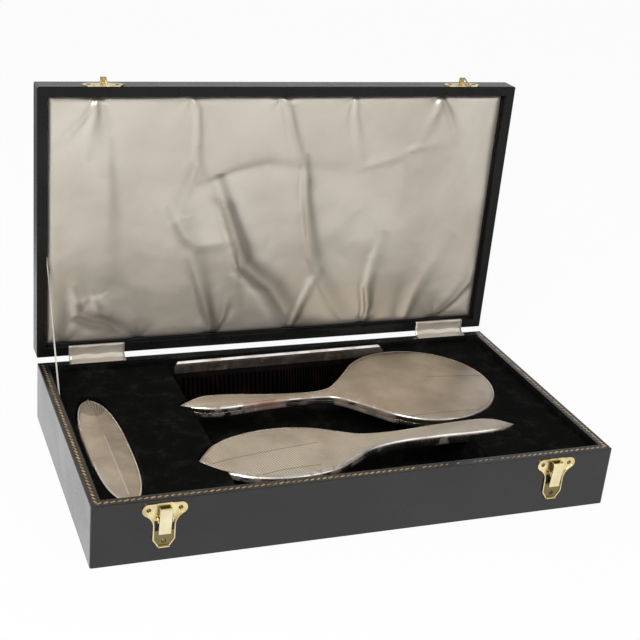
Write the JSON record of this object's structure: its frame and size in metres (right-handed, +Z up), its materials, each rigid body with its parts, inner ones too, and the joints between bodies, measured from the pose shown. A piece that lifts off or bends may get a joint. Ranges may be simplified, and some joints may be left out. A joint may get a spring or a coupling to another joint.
{
  "type": "fitted dressing box",
  "caption": "Flat leatherette case with hinged lid and spring latches, holding a silver-backed hand mirror, hairbrush, clothes brush and comb in a velvet tray.",
  "frame": {"origin": "centre of the case's underside", "axes": "+X along the front to the right, +Y to the back where the hinges are, +Z up"},
  "size_m": [0.42, 0.258, 0.2929],
  "materials": {
    "leatherette": "fine grained, satin",
    "velvet": "matt pile",
    "wood": "plain",
    "card": "matt",
    "satin": "satin sheen",
    "brass": "lacquered, satin",
    "spring_steel": "plain",
    "silver": "engine turned, softly tarnished",
    "mirror_glass": "polished",
    "bristle": "matt",
    "tortoiseshell": "polished"
  },
  "bodies": {
    "base": {"base_carcass": "wood", "base_covering": "leatherette", "base_underside_sheet": "leatherette", "base_liner": "velvet", "tray_left_block": "velvet", "tray_right_block": "velvet", "tray_well_floor": "velvet", "hinge_base_leaf_left": "brass", "hinge_base_leaf_right": "brass", "hinge_pin_left": "brass", "hinge_pin_right": "brass", "base_hinge_screws": "brass", "ribbon_stay": "satin", "latch_plate_left": "brass", "latch_plate_right": "brass", "lever_pin_left": "brass", "lever_pin_right": "brass", "lever_spring_left": "spring_steel", "lever_spring_right": "spring_steel", "latch_brads": "brass"},
    "lid": {"lid_carcass": "wood", "lid_covering": "leatherette", "lining_card": "card", "satin_lining": "satin", "hinge_lid_leaf_left": "brass", "hinge_lid_leaf_right": "brass", "lid_hinge_screws": "brass", "hinge_tab_left": "satin", "hinge_tab_right": "satin", "keeper_left": "brass", "keeper_right": "brass", "keeper_brads": "brass"},
    "latch_lever_left": {"latch_lever_left": "brass"},
    "latch_lever_right": {"latch_lever_right": "brass"},
    "mirror": {"mirror_back": "silver", "mirror_front_frame": "silver", "mirror_glass": "mirror_glass", "mirror_packing": "wood"},
    "hairbrush": {"hairbrush_back": "silver", "hairbrush_pad": "wood", "hairbrush_bristles": "bristle"},
    "clothes_brush": {"clothes_brush_back": "silver", "clothes_brush_pad": "wood", "clothes_brush_bristles": "bristle"},
    "comb": {"comb_mount": "silver", "comb_teeth": "tortoiseshell"}
  },
  "joints": [
    {"name": "lid_hinge", "type": "hinge", "parent": "base", "child": "lid", "pos_m": [0, 0.11863, 0.05148], "axis": [-1, 0, 0], "range_deg": [-90, 0], "deforming": ["hinge_tab_left", "hinge_tab_right", "ribbon_stay"]},
    {"name": "latch_press_left", "type": "hinge", "parent": "base", "child": "latch_lever_left", "pos_m": [-0.1575, -0.1185, 0.036], "axis": [1, 0, 0], "range_deg": [0, 6], "stiffness_Nm_per_rad": 0.02, "springref_deg": -5.73},
    {"name": "latch_press_right", "type": "hinge", "parent": "base", "child": "latch_lever_right", "pos_m": [0.159, -0.1185, 0.036], "axis": [1, 0, 0], "range_deg": [0, 6], "stiffness_Nm_per_rad": 0.02, "springref_deg": -5.73},
    {"name": "mirror_lift", "type": "slide", "parent": "base", "child": "mirror", "axis": [0, 0, 1], "range_m": [0, 0.1]},
    {"name": "hairbrush_lift", "type": "slide", "parent": "base", "child": "hairbrush", "axis": [0, 0, 1], "range_m": [0, 0.1]},
    {"name": "clothes_brush_lift", "type": "slide", "parent": "base", "child": "clothes_brush", "axis": [0, 0, 1], "range_m": [0, 0.1]},
    {"name": "comb_lift", "type": "slide", "parent": "base", "child": "comb", "axis": [0, 0.2588, 0.9659], "range_m": [0, 0.046]}
  ]
}
